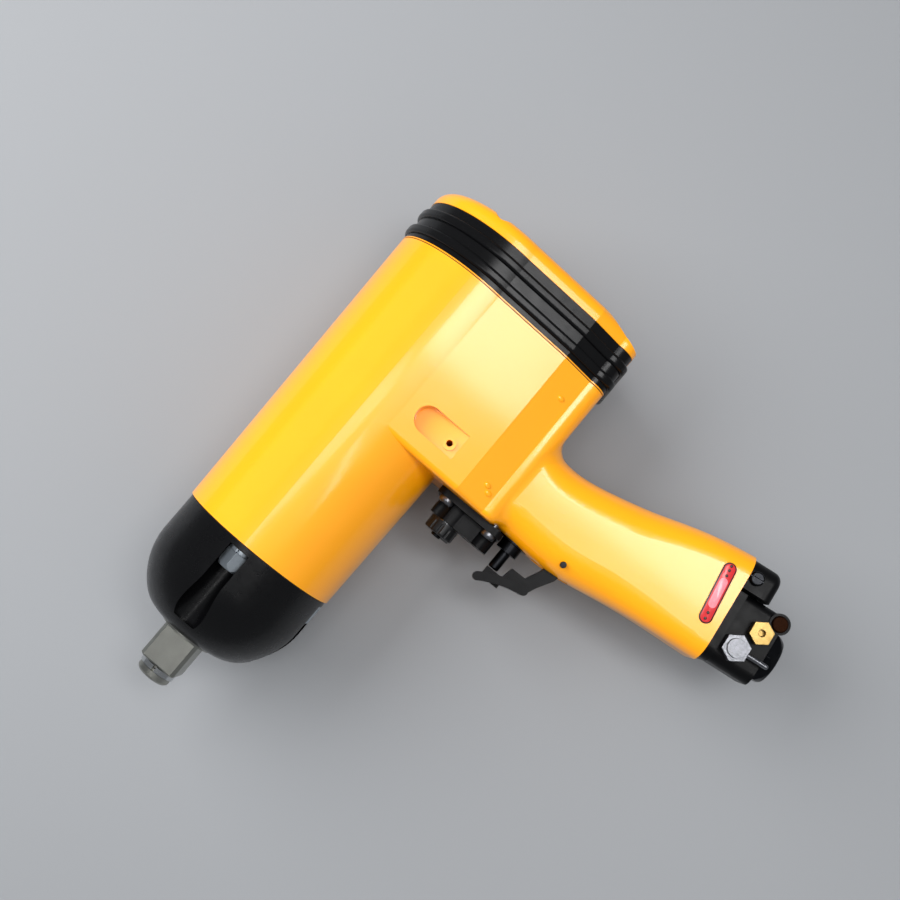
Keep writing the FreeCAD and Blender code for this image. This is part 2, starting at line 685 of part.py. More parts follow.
# --- Handle end, in its own frame (s, t, z) -----------------------------------------------------
END_CAP_SCREWS = [(-21.2, 7.2), (-21.2, -7.2)]
REGULATOR = (11.8, -13.5)
OIL_PLUG = (18.2, -1.8)
VENT = (24.0, 6.3)
CAP_TOP = 12.6
INLET_R = 7.5


def end_cap():
    flange = block((0.3, -25.4, -17.0), (4.6, 9.3, 17.0))
    flange = rounded(flange, 7.0, lambda b: b.XLength > 4 and b.YMax < 0)
    body = block((3.0, -24.6, -13.5), (26.0, 10.5, CAP_TOP))
    body = rounded(body, 6.0, lambda b: b.XLength > 20 and b.YMax < 0)
    body = rounded(body, 4.0, lambda b: b.XLength > 14 and b.YMin > 0)
    body = fused([flange, body, rod_z(4.9, 8.4, CAP_TOP + 0.8, *VENT)])
    cuts = [
        rod_x(INLET_R - 0.5, -1, 20, INLET_T),
        rod_x(INLET_R, -1, 1.3, INLET_T),
        rod_x(9.6, 19, 30, INLET_T),
        rod_z(4.5, -9.5, 30, *REGULATOR),
        rod_z(3.1, 8.8, 30, *OIL_PLUG),
        rod_z(3.85, 9.4, 30, *VENT),
    ]
    for t, z in END_CAP_SCREWS:
        cuts += [rod_x(1.8, -1, 30, t, z), rod_x(3.1, 22, 30, t, z)]
    return drilled(body, cuts)


def end_cap_screws():
    screws = []
    for t, z in END_CAP_SCREWS:
        screw = rod_x(2.9, 22, 25.2, t, z).fuse(rod_x(1.58, -13.5, 22, t, z)).removeSplitter()
        key = hexagon_y(2.5, 0, 4)
        key.rotate(Vector(0, 0, 0), Z, -90)
        key.translate(Vector(23.6, t, z))
        screws.append(screw.cut(key))
    return Part.makeCompound(screws)


def inlet_bushing():
    head = hexagon_y(23.0, 0, 6.2)
    head = head.common(Part.makeCone(14.6, 10.9, 6.2, Vector(0, 0, 0), Y))
    head.rotate(Vector(0, 0, 0), Z, -90)
    head.translate(Vector(26.1, INLET_T, 0))
    body = fused([head, rod_x(9.5, 20.2, 26.4, INLET_T)])
    return body.cut(rod_x(INLET_R, 10, 40, INLET_T))


def inlet_screen():
    cup = rod_x(6.8, -9, 0.1, INLET_T).fuse(rod_x(7.35, 0.35, 1.2, INLET_T))
    cup = cup.fuse(rod_x(6.8, 0, 0.5, INLET_T)).removeSplitter()
    cup = cup.cut(rod_x(6.1, -8.3, 3, INLET_T))
    holes = []
    for i in range(8):
        for s in (-6.6, -4.0, -1.6):
            hole = Part.makeCylinder(0.75, 12, Vector(s, 0, 0), Z)
            hole.rotate(Vector(0, 0, 0), X, 45 * i)
            hole.translate(Vector(0, INLET_T, 0))
            holes.append(hole)
    return drilled(cup, holes)


def regulator_spindle():
    spindle = rod_z(4.5 - RUNNING, -9.3, CAP_TOP + 0.3, *REGULATOR)
    groove = rod_z(6, 8.0, 9.8, *REGULATOR).cut(rod_z(3.5, 7, 11, *REGULATOR))
    return spindle.cut(groove).cut(rod_x(3.2, 4, 20, REGULATOR[1]))


def regulator_oring():
    ring = Part.makeTorus(3.96, 0.42, Vector(0, 0, 0), Z)
    ring.translate(Vector(REGULATOR[0], REGULATOR[1], 8.9))
    return ring


def regulator_knob():
    s, t = REGULATOR
    hub = hexagon_y(11.6, 0, 5.0)
    hub.rotate(Vector(0, 0, 0), X, 90)
    hub.translate(Vector(s, t, CAP_TOP + 0.35))
    cap = rod_z(4.4, CAP_TOP + 5, CAP_TOP + 6.4, s, t)
    pointer = rod_x(1.2, s + 3, s + 15.5, t, CAP_TOP + 3.2)
    pointer = pointer.fuse(Part.makeSphere(1.2, Vector(s + 15.5, t, CAP_TOP + 3.2)))
    return fused([hub, cap, pointer])


def oil_plug():
    s, t = OIL_PLUG
    head = hexagon_y(10.0, 0, 3.8)
    head.rotate(Vector(0, 0, 0), X, 90)
    head.translate(Vector(s, t, CAP_TOP + 0.9))
    plug = fused([head, rod_z(3.0, 9.2, CAP_TOP + 1, s, t),
                  rod_z(4.4, CAP_TOP + 0.02, CAP_TOP + 1, s, t)])
    return plug.cut(rod_z(1.6, CAP_TOP + 2, CAP_TOP + 8, s, t))


def bronze_vent():
    plug = rod_z(3.8, 9.5, CAP_TOP + 1.8, *VENT)
    return rounded(plug, 0.9, lambda b: b.ZMin > CAP_TOP + 1.7)


def muffler_felt():
    return rod_x(6.9, -30, -1, EXHAUST_T)


def exhaust_deflector():
    body = block((0.3, 11.2, -16.5), (15.6, 25.6, 16.0))
    body = rounded(body, 6.5, lambda b: b.XLength > 14 and b.YMin > 20)
    body = rounded(body, 4.0, lambda b: b.XMin > 15.5 and b.ZLength > 5 and b.YMin > 20)
    tongue = block((0.3, 9.6, -6), (2.7, 12, 6))
    pocket = block((-1, 13.6, -11), (11.5, 22.5, 11))
    vents = [block((6, 20, z - 1.3), (20, 30, z + 1.3)) for z in (-7.5, -2.5, 2.5, 7.5)]
    return drilled(fused([body, tongue]), [pocket, rod_z(1.7, 9, 20, 4.2, 17.8)] + vents)


def deflector_screw():
    head = rod_z(3.3, 16.0, 18.2, 4.2, 17.8)
    head = rounded(head, 0.9, lambda b: b.ZMin > 18.1)
    head = head.cut(block((0, 17.4, 17.3), (9, 18.2, 19)))
    return head.fuse(rod_z(1.65, 11.5, 16.0, 4.2, 17.8)).removeSplitter()


def handle_label():
    return label_shape(LABEL_TOP - 0.85, LABEL_TOP + 0.35)


# --- One STEP file for each piece ---------------------------------------------------------------
PLAIN = [
    housing, hammer_case, case_bolts, case_washers, front_gasket, anvil, socket_ring,
    socket_ring_oring, anvil_bushing, anvil_seal, hammer_cage, hammer_pins, rotor, rotor_vanes,
    cylinder_liner, front_end_plate, rear_end_plate, rear_gasket, rear_cover, rear_bumper,
    cover_screws, valve_block, block_screws, reverse_spool, reverse_knob, knob_screw,
    detent_ball, detent_spring, detent_plug, throttle_bushing, throttle_stem, throttle_valve,
    throttle_spring, trigger, trigger_pin, handle_label,
]
AT_HANDLE_END = [
    end_cap, end_cap_screws, inlet_bushing, inlet_screen, regulator_spindle, regulator_oring,
    regulator_knob, oil_plug, bronze_vent, muffler_felt, exhaust_deflector, deflector_screw,
]

for make in PLAIN:
    save(make.__name__, make())
for make in AT_HANDLE_END:
    save(make.__name__, at_handle_end(make()))
save("front_hammer_dog", hammer_dog(DOG_SPANS[0], PIN_CIRCLE_R, JAW_SPANS[0][2]))
save("rear_hammer_dog", hammer_dog(DOG_SPANS[1], -PIN_CIRCLE_R, JAW_SPANS[1][2]))
save("liner_dowel", rod_y(2.0, 109, 122, *DOWEL))
for end, span in (("front", FRONT_BEARING), ("rear", REAR_BEARING)):
    save(end + "_bearing_inner", bearing_inner(span))
    save(end + "_bearing_outer", bearing_outer(span))
    save(end + "_bearing_balls", bearing_balls(span))
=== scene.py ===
import math

import bmesh
import bpy
from mathutils import Matrix, Vector


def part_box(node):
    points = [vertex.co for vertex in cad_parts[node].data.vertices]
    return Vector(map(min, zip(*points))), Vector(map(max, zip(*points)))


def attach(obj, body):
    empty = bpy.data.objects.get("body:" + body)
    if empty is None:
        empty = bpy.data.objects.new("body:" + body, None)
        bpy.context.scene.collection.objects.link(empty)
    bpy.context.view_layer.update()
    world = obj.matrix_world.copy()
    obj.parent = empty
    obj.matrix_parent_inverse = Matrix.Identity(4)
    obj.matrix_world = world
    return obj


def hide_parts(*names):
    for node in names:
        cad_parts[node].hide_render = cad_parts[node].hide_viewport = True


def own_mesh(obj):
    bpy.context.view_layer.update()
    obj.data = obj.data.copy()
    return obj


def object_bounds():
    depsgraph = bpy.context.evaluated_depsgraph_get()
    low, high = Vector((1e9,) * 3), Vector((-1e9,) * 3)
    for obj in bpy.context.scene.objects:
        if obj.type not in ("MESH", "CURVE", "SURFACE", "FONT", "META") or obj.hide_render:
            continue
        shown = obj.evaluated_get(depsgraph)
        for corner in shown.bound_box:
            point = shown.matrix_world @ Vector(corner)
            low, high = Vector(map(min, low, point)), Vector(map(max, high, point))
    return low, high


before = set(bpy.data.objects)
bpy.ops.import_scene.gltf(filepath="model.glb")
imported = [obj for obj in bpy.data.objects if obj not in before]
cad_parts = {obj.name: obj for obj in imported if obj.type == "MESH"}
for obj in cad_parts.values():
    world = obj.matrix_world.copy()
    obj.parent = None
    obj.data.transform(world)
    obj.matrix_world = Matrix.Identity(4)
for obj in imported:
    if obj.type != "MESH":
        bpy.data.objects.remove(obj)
cad_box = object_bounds()


# Viewpoint, table and lights. The wrench lies on its right side on a pale matt table, looked down on
# almost squarely. A ceiling softbox and two strips draw the streaks of light in the enamel, and three
# wide fills that show in no reflection light the rest.
def linear(colour):
    """Turns an sRGB hex colour into linear RGBA."""
    channels = [int(colour[at:at + 2], 16) / 255 for at in (1, 3, 5)]
    return (*[c / 12.92 if c <= 0.04045 else ((c + 0.055) / 1.055) ** 2.4 for c in channels], 1.0)


def blank(name):
    """A new material with an empty node tree."""
    material = bpy.data.materials.new(name)
    material.use_nodes = True
    material.node_tree.nodes.clear()
    return material


def add(material, kind, sockets=None, **settings):
    """Adds one shader node. Each socket named is given a value, or is linked from an output."""
    made = material.node_tree.nodes.new(kind)
    for name, value in settings.items():
        setattr(made, name, value)
    for name, value in (sockets or {}).items():
        if isinstance(value, bpy.types.NodeSocket):
            material.node_tree.links.new(value, made.inputs[name])
        else:
            made.inputs[name].default_value = value
    return made


def surface(material, sockets):
    """Ends a material with its shader and gives the material back."""
    shader = add(material, "ShaderNodeBsdfPrincipled", sockets)
    add(material, "ShaderNodeOutputMaterial", {"Surface": shader.outputs["BSDF"]})
    return material


# the eye's place in metres, the way it looks, and what is level across the view
EYE = Vector((0.077, 0.0967, 0.490))
LOOKING = Vector((-0.078, 0.0936, -0.9925)).normalized()
right = Vector((0.768, 0.640, 0.0))
right = (right - right.dot(LOOKING) * LOOKING).normalized()
up = right.cross(LOOKING)
view = bpy.data.cameras.new("viewpoint")
view.lens = 42
view.sensor_width = 36
view.clip_start = 0.01
camera = bpy.data.objects.new("viewpoint", view)
turned = Matrix((right, up, -LOOKING)).transposed().to_4x4()
camera.matrix_world = Matrix.Translation(EYE) @ turned
bpy.context.scene.collection.objects.link(camera)
bpy.context.scene.camera = camera
bpy.context.scene.view_settings.view_transform = "Standard"

TABLE_HALF = 3.0
bm = bmesh.new()
bmesh.ops.create_grid(bm, x_segments=1, y_segments=1, size=TABLE_HALF)
bmesh.ops.translate(bm, verts=bm.verts, vec=(0.05, 0.1, cad_box[0][2]))
table_mesh = bpy.data.meshes.new("table_top")
bm.to_mesh(table_mesh)
bm.free()
table = bpy.data.objects.new("table_top", table_mesh)
bpy.context.scene.collection.objects.link(table)
# matt emulsion paint: an even pale grey with no gloss to compete with the tool
table_paint = blank("matt_pale_grey_table")
table_mesh.materials.append(surface(table_paint, {"Base Color": linear("#8E9093"), "Roughness": 0.7}))


def softbox(name, place, turn, tilt, width, height, watts, glossy=True):
    """A rectangular soft light that hangs face down, tilted about Y, then turned about Z, in degrees."""
    lamp = bpy.data.lights.new(name, "AREA")
    lamp.shape = "RECTANGLE"
    lamp.size, lamp.size_y, lamp.energy = width, height, watts
    stand = bpy.data.objects.new(name, lamp)
    stand.location = place
    stand.rotation_euler = (0.0, math.radians(tilt), math.radians(turn))
    stand.visible_glossy = glossy
    bpy.context.scene.collection.objects.link(stand)


# place, turn, tilt, width, height and watts
softbox("ceiling_softbox", (0.28, 0.41, 1.05), 0, 12, 0.46, 0.24, 3.9)
softbox("ridge_strip", (-0.06, 0.06, 1.05), -28, 0, 0.16, 0.40, 0.9)
softbox("narrow_strip", (0.43, 0.08, 1.05), -16, 20, 0.36, 0.04, 0.35)
softbox("left_fill", (-0.75, 0.05, 0.65), 0, -50, 0.8, 1.0, 14.5, glossy=False)
softbox("right_fill", (0.75, -0.1, 0.55), 0, 55, 0.7, 0.9, 1.6, glossy=False)
softbox("ceiling_fill", (0.0, 0.2, 1.3), 0, 0, 1.0, 1.0, 5.5, glossy=False)
ROOM_LIGHT = 0.3
world = bpy.data.worlds.new("room")
world.use_nodes = True
world.node_tree.nodes["Background"].inputs["Color"].default_value = linear("#D9DDE2")
world.node_tree.nodes["Background"].inputs["Strength"].default_value = ROOM_LIGHT
bpy.context.scene.world = world


# Motor housing: one aluminium casting of barrel, web and handle, fettled and sprayed with gloss
# baked enamel. Its bearing seats and threads are hidden once the two ends are bolted on.
def coated(node, material):
    """Gives a CAD solid that is kept as it is its material."""
    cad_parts[node].material_slots[0].material = material


# gloss baked enamel over cast aluminium: an even warm yellow, a little deeper in 35 mm patches, with a
# slow 17 mm ripple left by the casting and a fine 1.4 mm orange-peel in the gloss. A Mix node's sockets
# 6 and 7 are its two colours, and its output 2 is the colour mixed from them.
yellow_enamel = blank("yellow_baked_enamel")
where = add(yellow_enamel, "ShaderNodeTexCoord").outputs["Object"]
patches = add(yellow_enamel, "ShaderNodeTexNoise", {"Vector": where, "Scale": 28.0, "Detail": 2.0})
coat = add(yellow_enamel, "ShaderNodeMix", {0: patches.outputs["Fac"], 6: linear("#FCA004"),
                                             7: linear("#FDA806")}, data_type="RGBA")
casting = add(yellow_enamel, "ShaderNodeTexNoise", {"Vector": where, "Scale": 60.0, "Detail": 1.0})
ripple = add(yellow_enamel, "ShaderNodeBump", {"Height": casting.outputs["Fac"], "Strength": 0.06,
                                                "Distance": 0.002})
peel = add(yellow_enamel, "ShaderNodeTexNoise", {"Vector": where, "Scale": 700.0, "Detail": 1.0})
skin = add(yellow_enamel, "ShaderNodeBump", {"Height": peel.outputs["Fac"], "Strength": 0.05,
                                              "Distance": 0.0003, "Normal": ripple.outputs["Normal"]})
surface(yellow_enamel, {
    "Base Color": coat.outputs[2], "Roughness": 0.3, "IOR": 1.5, "Coat Weight": 0.5,
    "Coat Roughness": 0.1, "Normal": skin.outputs["Normal"]})
coated("housing", yellow_enamel)


# Three small low bosses on the slope under the web's crease, where the mould's ejector pins pushed the
# casting out. They lie under the same enamel and catch the light as small glints.
MM = 0.001


def piece(name, bm, body, material, replaces=(), sharp=35):
    """Turns a bmesh into a finished object that rides on a body."""
    mesh = bpy.data.meshes.new(name)
    bm.to_mesh(mesh)
    bm.free()
    mesh.shade_smooth()
    mesh.set_sharp_from_angle(angle=math.radians(sharp))
    mesh.materials.append(material)
    made = bpy.data.objects.new(name, mesh)
    bpy.context.scene.collection.objects.link(made)
    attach(made, body)
    if replaces:
        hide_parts(*replaces)
    return made


def skin_under(node, x, y):
    """The place and normal where a plumb line from above meets a CAD solid's skin."""
    found, spot, normal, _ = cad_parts[node].ray_cast((x, y, 0.2), (0.0, 0.0, -1.0))
    return spot, normal


BOSS_PLACES = [(64.0, 190.0), (63.5, 139.0), (66.0, 136.5)]
BOSS_R = 1.3
BOSS_SHAPE = (1.0, 1.5, 0.5)    # longer along the tool than across it, and low
bm = bmesh.new()
for x, y in BOSS_PLACES:
    spot, normal = skin_under("housing", x * MM, y * MM)
    lean = normal.to_track_quat("Z", "Y").to_matrix().to_4x4()
    made = bmesh.ops.create_uvsphere(bm, u_segments=24, v_segments=12, radius=BOSS_R * MM)
    bmesh.ops.scale(bm, verts=made["verts"], vec=BOSS_SHAPE)
    bmesh.ops.transform(bm, verts=made["verts"], matrix=Matrix.Translation(spot) @ lean)
piece("ejector_bosses", bm, "tool_body", yellow_enamel)


# Air motor inside the housing: honed cast-iron liner and end plates, forged rotor, laminated vanes
# and two ball bearings, stacked behind the clutch and held by the rear cover.
def metal(name, dark, light, gloss, patch, mark, depth, stretch=(1.0, 1.0, 1.0)):
    """A bare or plated metal. Its colour drifts from dark to light over patches, and fine marks vary
    its roughness about gloss and dent it by depth. Patches and marks are in mm."""
    finish = blank(name)
    spot = add(finish, "ShaderNodeTexCoord").outputs["Object"]
    drawn = add(finish, "ShaderNodeMapping", {"Vector": spot, "Scale": stretch}).outputs["Vector"]
    wide = add(finish, "ShaderNodeTexNoise", {"Vector": spot, "Scale": 1 / (patch * MM), "Detail": 3.0})
    fine = add(finish, "ShaderNodeTexNoise", {"Vector": drawn, "Scale": 1 / (mark * MM), "Detail": 2.0})
    tone = add(finish, "ShaderNodeMix", {0: wide.outputs["Fac"], 6: linear(dark), 7: linear(light)},
               data_type="RGBA")
    shine = add(finish, "ShaderNodeMapRange", {"Value": fine.outputs["Fac"], "From Min": 0.3,
                "From Max": 0.7, "To Min": gloss * 0.8, "To Max": gloss * 1.25})
    cut = add(finish, "ShaderNodeBump", {"Height": fine.outputs["Fac"], "Strength": depth,
                                          "Distance": 0.1 * MM})
    return surface(finish, {"Base Color": tone.outputs[2], "Metallic": 1.0,
                            "Roughness": shine.outputs["Result"], "Normal": cut.outputs["Normal"]})


# turned and ground marks run round the drive axis, so they are drawn out across it
ROUND_Y = (0.15, 1.0, 0.15)
# turned alloy steel: mid grey with rings left by the tool
forged_steel = metal("forged_alloy_steel", "#77787A", "#97999B", 0.38, 9.0, 0.5, 0.25, ROUND_Y)
# ground tool steel: bright, with finer rings
ground_steel = metal("ground_tool_steel", "#B4B7BA", "#CED0D2", 0.2, 14.0, 0.3, 0.12, ROUND_Y)
# polished bearing steel: near mirror bright, with almost no marks
bearing_steel = metal("polished_bearing_steel", "#D3D6D9", "#E4E6E8", 0.1, 20.0, 0.6, 0.04)
# honed iron: dark grey, its marks drawn out along the bore by the stones
honed_iron = metal("honed_cast_iron", "#6C6E70", "#86888A", 0.32, 6.0, 0.4, 0.2, (1.0, 0.3, 1.0))
# ground iron: a shade lighter than the honed bore, with an even short grain
plate_iron = metal("ground_cast_iron", "#7C7E80", "#98999B", 0.34, 8.0, 0.4, 0.18)
coated("cylinder_liner", honed_iron)
for node in ("front_end_plate", "rear_end_plate"):
    coated(node, plate_iron)
for node in ("rotor", "hammer_cage", "front_hammer_dog", "rear_hammer_dog"):
    coated(node, forged_steel)
for node in ("liner_dowel", "hammer_pins"):
    coated(node, ground_steel)
for end in ("front", "rear"):
    for part in ("inner", "outer", "balls"):
        coated(f"{end}_bearing_{part}", bearing_steel)

# laminated phenolic: brown resin with the weave of its cotton cloth. A wave node's band is 0.3142 wide
# at a scale of 1, so that number over the thread gives the scale.
THREAD = 0.8 * MM
laminate = blank("cotton_phenolic_laminate")
where = add(laminate, "ShaderNodeTexCoord").outputs["Object"]
weft = add(laminate, "ShaderNodeTexWave", {"Vector": where, "Scale": 0.3142 / THREAD, "Distortion": 0.4},
           bands_direction="Y")
warp = add(laminate, "ShaderNodeTexWave", {"Vector": where, "Scale": 0.3142 / THREAD, "Distortion": 0.4},
           bands_direction="Z")
cloth = add(laminate, "ShaderNodeMath", {0: weft.outputs["Fac"], 1: warp.outputs["Fac"]},
            operation="MULTIPLY")
brown = add(laminate, "ShaderNodeMix", {0: cloth.outputs["Value"], 6: linear("#6B3E1E"),
                                         7: linear("#93602F")}, data_type="RGBA")
surface(laminate, {"Base Color": brown.outputs[2], "Roughness": 0.55})
coated("rotor_vanes", laminate)

# oiled gasket board: dull, almost black brown, with short fibres in it
fibre_board = blank("oiled_fibre_gasket")
where = add(fibre_board, "ShaderNodeTexCoord").outputs["Object"]
fibres = add(fibre_board, "ShaderNodeTexNoise", {"Vector": where, "Scale": 1 / (0.7 * MM), "Detail": 4.0})
tan = add(fibre_board, "ShaderNodeMix", {0: fibres.outputs["Fac"], 6: linear("#1B1712"),
                                          7: linear("#3A3226")}, data_type="RGBA")
surface(fibre_board, {"Base Color": tan.outputs[2], "Roughness": 0.8})
for node in ("front_gasket", "rear_gasket"):
    coated(node, fibre_board)


# Twin-hammer clutch output: the anvil turns in a bronze bushing pressed into the nose, behind a
# rubber lip seal. Its drive square is ground and keeps the dull look of heat treatment.
def merged(node):
    """A copy of a CAD solid's mesh as a bmesh with its triangles joined into a closed skin. Corners
    nearer than 0.002 mm are one corner, and triangles within half a degree are one face."""
    bm = bmesh.new()
    bm.from_mesh(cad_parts[node].data)
    bmesh.ops.remove_doubles(bm, verts=bm.verts, dist=0.002 * MM)
    bmesh.ops.dissolve_limit(bm, angle_limit=math.radians(0.5), verts=bm.verts, edges=bm.edges,
                             delimit={"NORMAL"})
    return bm


def finished(node, body, material, width, segments=2, angle=30):
    """A CAD solid with every edge sharper than the angle rounded off, standing for that solid."""
    bm = merged(node)
    edges = [e for e in bm.edges if e.is_manifold and e.calc_face_angle() > math.radians(angle)]
    bmesh.ops.bevel(bm, geom=edges, offset=width * MM, offset_type="OFFSET", segments=segments,
                    profile=0.5, affect="EDGES", clamp_overlap=True, material=-1)
    made = piece(node + "_finished", bm, body, material, (node,), angle + 5)
    shading = made.modifiers.new("even_shading", "WEIGHTED_NORMAL")
    shading.keep_sharp = True
    return made


# heat-treated steel: dull warm grey, its marks drawn out along the square's flats by grinding
anvil_steel = metal("heat_treated_anvil_steel", "#96968F", "#B3B3AC", 0.38, 7.0, 0.35, 0.2,
                    (1.0, 0.12, 1.0))
# drawn spring wire: bright and even
spring_steel = metal("bright_spring_steel", "#B9BBBC", "#D0D2D3", 0.22, 5.0, 0.3, 0.1)
# turned bronze: warm brown with fine rings
bushing_bronze = metal("turned_bushing_bronze", "#A9773F", "#C0904F", 0.3, 6.0, 0.3, 0.15, ROUND_Y)
finished("anvil", "anvil_group", anvil_steel, 0.35)
coated("socket_ring", spring_steel)
coated("anvil_bushing", bushing_bronze)

# moulded nitrile rubber: matt black with a faint grey bloom
nitrile = blank("moulded_nitrile_rubber")
where = add(nitrile, "ShaderNodeTexCoord").outputs["Object"]
bloom = add(nitrile, "ShaderNodeTexNoise", {"Vector": where, "Scale": 1 / (3 * MM), "Detail": 3.0})
dull = add(nitrile, "ShaderNodeMix", {0: bloom.outputs["Fac"], 6: linear("#151515"),
                                       7: linear("#232323")}, data_type="RGBA")
surface(nitrile, {"Base Color": dull.outputs[2], "Roughness": 0.6})
for node in ("anvil_seal", "socket_ring_oring", "throttle_valve", "regulator_oring"):
    coated(node, nitrile)


# Hammer case: a steel forging in thick glossy black enamel, bolted to the housing by four hex bolts
# with plain washers that sit in scallops cut down its sides.
# thick black enamel over a forging: deep black, its gloss broken by the 4 mm scale marks under it
black_enamel = blank("gloss_black_enamel")
where = add(black_enamel, "ShaderNodeTexCoord").outputs["Object"]
scale_marks = add(black_enamel, "ShaderNodeTexNoise", {"Vector": where, "Scale": 1 / (4 * MM),
                                                        "Detail": 3.0})
forging = add(black_enamel, "ShaderNodeBump", {"Height": scale_marks.outputs["Fac"], "Strength": 0.12,
                                                "Distance": 0.6 * MM})
sheen = add(black_enamel, "ShaderNodeMapRange", {"Value": scale_marks.outputs["Fac"], "To Min": 0.2,
                                                  "To Max": 0.38})
surface(black_enamel, {"Base Color": linear("#050506"), "Roughness": sheen.outputs["Result"],
                       "IOR": 1.38, "Normal": forging.outputs["Normal"]})
coated("hammer_case", black_enamel)

# zinc plate with a blue passivate: pale grey-blue, a little cloudy and soft in its gloss
zinc_plate = metal("blue_passivated_zinc", "#A9B3BB", "#D0D7DD", 0.46, 2.5, 0.4, 0.1)
finished("case_bolts", "tool_body", zinc_plate, 0.2)
finished("case_washers", "tool_body", zinc_plate, 0.12)


# Rear cover, held by five socket screws, and the ribbed rubber band stretched round it as a bumper.
coated("rear_cover", yellow_enamel)
# moulded rubber: black, shiny where the mould was polished, duller where hands rub it
band_rubber = blank("glossy_black_rubber")
where = add(band_rubber, "ShaderNodeTexCoord").outputs["Object"]
wear = add(band_rubber, "ShaderNodeTexNoise", {"Vector": where, "Scale": 1 / (6 * MM), "Detail": 4.0})
gloss = add(band_rubber, "ShaderNodeMapRange", {"Value": wear.outputs["Fac"], "To Min": 0.16,
                                                 "To Max": 0.34})
surface(band_rubber, {"Base Color": linear("#0A0A0B"), "Roughness": gloss.outputs["Result"],
                      "Specular IOR Level": 0.22})
coated("rear_bumper", band_rubber)
# black oxide with oil on it: near black, with a soft metallic gleam on its edges
black_oxide = metal("oiled_black_oxide_steel", "#1E1F21", "#2C2D30", 0.32, 3.0, 0.3, 0.1)
finished("cover_screws", "tool_body", black_oxide, 0.2)


# Valve block under the web: a small painted casting, screwed on, that carries the reverse valve with
# its fluted knob, a screw in the knob's end, and the ball detent at its side.
# thin satin black paint over a sand casting: the 0.6 mm grain shows through, and the gloss drifts
black_casting = blank("satin_black_paint_on_casting")
where = add(black_casting, "ShaderNodeTexCoord").outputs["Object"]
sand = add(black_casting, "ShaderNodeTexNoise", {"Vector": where, "Scale": 1 / (0.6 * MM), "Detail": 3.0})
swell = add(black_casting, "ShaderNodeTexNoise", {"Vector": where, "Scale": 1 / (5 * MM), "Detail": 2.0})
grain = add(black_casting, "ShaderNodeBump", {"Height": sand.outputs["Fac"], "Strength": 0.25,
                                               "Distance": 0.12 * MM})
rough = add(black_casting, "ShaderNodeMapRange", {"Value": swell.outputs["Fac"], "To Min": 0.26,
                                                   "To Max": 0.5})
shade = add(black_casting, "ShaderNodeMix", {0: sand.outputs["Fac"], 6: linear("#040405"),
                                              7: linear("#09090A")}, data_type="RGBA")
surface(black_casting, {"Base Color": shade.outputs[2], "Roughness": rough.outputs["Result"],
                        "Specular IOR Level": 0.16, "Normal": grain.outputs["Normal"]})
finished("valve_block", "tool_body", black_casting, 0.5)
# worn nickel plate: clouded grey patches between brighter ones
nickel_plate = metal("dull_nickel_plate", "#5C5D61", "#9C9DA2", 0.34, 1.6, 0.5, 0.5)
finished("block_screws", "tool_body", nickel_plate, 0.1)
# moulded nylon: black, with a satin surface that varies where the plastic flowed
knob_plastic = blank("moulded_black_nylon")
where = add(knob_plastic, "ShaderNodeTexCoord").outputs["Object"]
flow = add(knob_plastic, "ShaderNodeTexNoise", {"Vector": where, "Scale": 1 / (1.5 * MM), "Detail": 2.0})
matt = add(knob_plastic, "ShaderNodeMapRange", {"Value": flow.outputs["Fac"], "To Min": 0.3,
                                                 "To Max": 0.45})
surface(knob_plastic, {"Base Color": linear("#0D0D0E"), "Roughness": matt.outputs["Result"]})
finished("reverse_knob", "reverse_valve", knob_plastic, 0.15)
finished("knob_screw", "reverse_valve", black_oxide, 0.1)
coated("reverse_spool", ground_steel)
coated("detent_ball", bearing_steel)
coated("detent_spring", spring_steel)
coated("detent_plug", black_oxide)


# Throttle: a hardened stem in a screwed bushing, lifted off its seat by the cast trigger, which rocks
# on a pin through the handle.
finished("throttle_bushing", "tool_body", black_oxide, 0.25)
finished("throttle_stem", "throttle_plunger", black_oxide, 0.2)
# the spring rides on the tool body against the chamber's end and gets a mesh of its own; in the tool the
# valve shortens it, but nothing here moves or shortens it
valve_spring = piece("throttle_spring_coil", merged("throttle_spring"), "tool_body",
                     spring_steel, ("throttle_spring",))
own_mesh(valve_spring)
finished("trigger", "trigger_lever", black_casting, 0.5)
finished("trigger_pin", "tool_body", black_oxide, 0.2)


# Handle end: a black cast cap screwed over the handle, with the hose inlet, air regulator, oil plug,
# bronze vent and an exhaust deflector beside it.
finished("end_cap", "tool_body", black_casting, 0.4)
finished("end_cap_screws", "tool_body", black_oxide, 0.2)
finished("inlet_bushing", "tool_body", black_oxide, 0.3)
# turned brass, dulled by handling: pale yellow-brown
brass = metal("turned_brass", "#8C6F38", "#C2A468", 0.34, 3.0, 0.3, 0.12)
coated("inlet_screen", brass)
coated("regulator_spindle", brass)
finished("oil_plug", "tool_body", brass, 0.2)
finished("regulator_knob", "regulator_valve", nickel_plate, 0.2)
# sintered bronze: dark brown grains pressed together, rough and open
sinter = metal("sintered_bronze", "#20120C", "#43281A", 0.6, 0.8, 0.35, 0.9)
finished("bronze_vent", "tool_body", sinter, 0.3)
# wool felt: matt grey, mottled by its 0.5 mm hairs
felt = blank("grey_wool_felt")
where = add(felt, "ShaderNodeTexCoord").outputs["Object"]
hairs = add(felt, "ShaderNodeTexNoise", {"Vector": where, "Scale": 1 / (0.5 * MM), "Detail": 5.0})
wool = add(felt, "ShaderNodeMix", {0: hairs.outputs["Fac"], 6: linear("#5A5753"),
                                    7: linear("#918D86")}, data_type="RGBA")
surface(felt, {"Base Color": wool.outputs[2], "Roughness": 0.95})
coated("muffler_felt", felt)
finished("exhaust_deflector", "tool_body", black_casting, 0.4)
finished("deflector_screw", "tool_body", black_oxide, 0.1)


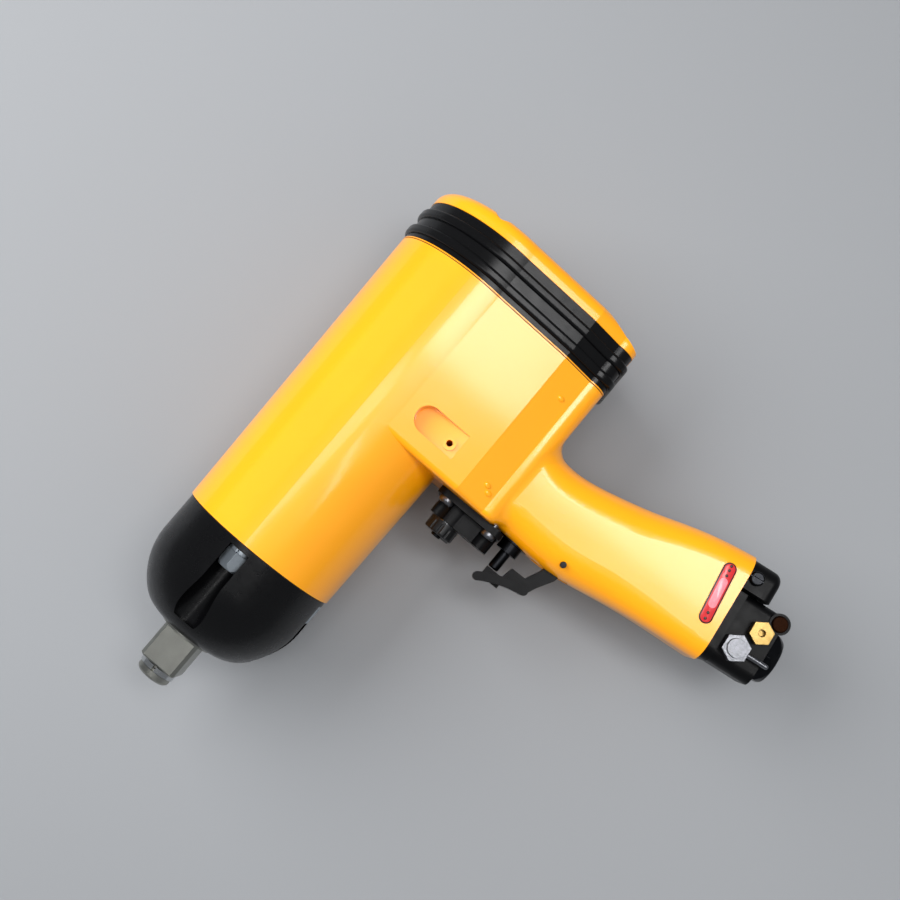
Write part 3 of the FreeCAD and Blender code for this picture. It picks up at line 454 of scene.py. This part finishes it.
# Data plate on the handle: a printed aluminium pill in a shallow pocket, red with a black border, a
# paler field in the middle and a row of dark dots at each end in place of words.
# the middle of the handle's end face and how far it leans, then the plate's place and sizes from there
HANDLE_END = Vector((180.6, 166.5, 0.0)) * MM
LEAN = math.radians(7.2)
PLATE_CENTRE = HANDLE_END + Matrix.Rotation(LEAN, 3, "Z") @ Vector((-8.0 * MM, 2.6 * MM, 0.0))
PLATE_TURN = LEAN + math.radians(4.0)
PLATE_PLACE = Matrix.Translation(PLATE_CENTRE) @ Matrix.Rotation(PLATE_TURN, 4, "Z")
PLATE_HALF = 11.8
PLATE_R = 3.1
FIELD_R = 2.5
PANEL_HALF = 5.4
PANEL_R = 1.9
DOTS = (-12.6, -9.8, 8.6, 11.2, 13.4)
DOT_R = 0.75
plate_low, plate_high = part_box("handle_label")


def pill(half, radius, low, high, edge=0.0):
    """A flat pill with round ends on the plate's place. Half is from its middle to the centre of an
    end, in mm as radius and edge are; low and high are heights in metres."""
    bm = bmesh.new()
    made = bmesh.ops.create_circle(bm, cap_ends=True, segments=64, radius=radius * MM)
    for v in made["verts"]:
        v.co.y += math.copysign(half * MM, v.co.y) if abs(v.co.y) > 1e-7 else 0.0
    bmesh.ops.translate(bm, verts=bm.verts, vec=(0.0, 0.0, low))
    grown = bmesh.ops.extrude_face_region(bm, geom=bm.faces[:])
    top = [v for v in grown["geom"] if isinstance(v, bmesh.types.BMVert)]
    bmesh.ops.translate(bm, verts=top, vec=(0.0, 0.0, high - low))
    bmesh.ops.recalc_face_normals(bm, faces=bm.faces)
    if edge:
        rim = [e for e in bm.edges if all(v.co.z > high - 1e-6 for v in e.verts)]
        bmesh.ops.bevel(bm, geom=rim, offset=edge * MM, offset_type="OFFSET", segments=2,
                        profile=0.5, affect="EDGES", clamp_overlap=True, material=-1)
    bmesh.ops.transform(bm, verts=bm.verts, matrix=PLATE_PLACE)
    return bm


def ink(name, dark, light):
    """Gloss printing ink on the plate, with a faint uneven lay."""
    print_ink = blank(name)
    spot = add(print_ink, "ShaderNodeTexCoord").outputs["Object"]
    lay = add(print_ink, "ShaderNodeTexNoise", {"Vector": spot, "Scale": 1 / (1.2 * MM), "Detail": 2.0})
    tone = add(print_ink, "ShaderNodeMix", {0: lay.outputs["Fac"], 6: linear(dark), 7: linear(light)},
               data_type="RGBA")
    return surface(print_ink, {"Base Color": tone.outputs[2], "Roughness": 0.3, "Coat Weight": 0.4,
                               "Coat Roughness": 0.1})


plate_top = plate_high.z
black_ink = ink("black_plate_ink", "#120608", "#22090C")
red_ink = ink("red_plate_ink", "#B4131C", "#CE2126")
rose_ink = ink("rose_plate_ink", "#D8707C", "#E58E98")
piece("plate_border", pill(PLATE_HALF, PLATE_R, plate_low.z, plate_top - 0.12 * MM, 0.15), "tool_body",
      black_ink, ("handle_label",))
piece("plate_field", pill(PLATE_HALF, FIELD_R, plate_top - 0.2 * MM, plate_top - 0.06 * MM, 0.05),
      "tool_body", red_ink)
piece("plate_panel", pill(PANEL_HALF, PANEL_R, plate_top - 0.1 * MM, plate_top - 0.02 * MM, 0.03),
      "tool_body", rose_ink)
bm = bmesh.new()
for along in DOTS:
    made = bmesh.ops.create_cone(bm, cap_ends=True, segments=24, radius1=DOT_R * MM,
                                 radius2=0.8 * DOT_R * MM, depth=0.1 * MM)
    bmesh.ops.translate(bm, verts=made["verts"], vec=(0.0, along * MM, plate_top - 0.05 * MM))
bmesh.ops.transform(bm, verts=bm.verts, matrix=PLATE_PLACE)
piece("plate_dots", bm, "tool_body", black_ink)
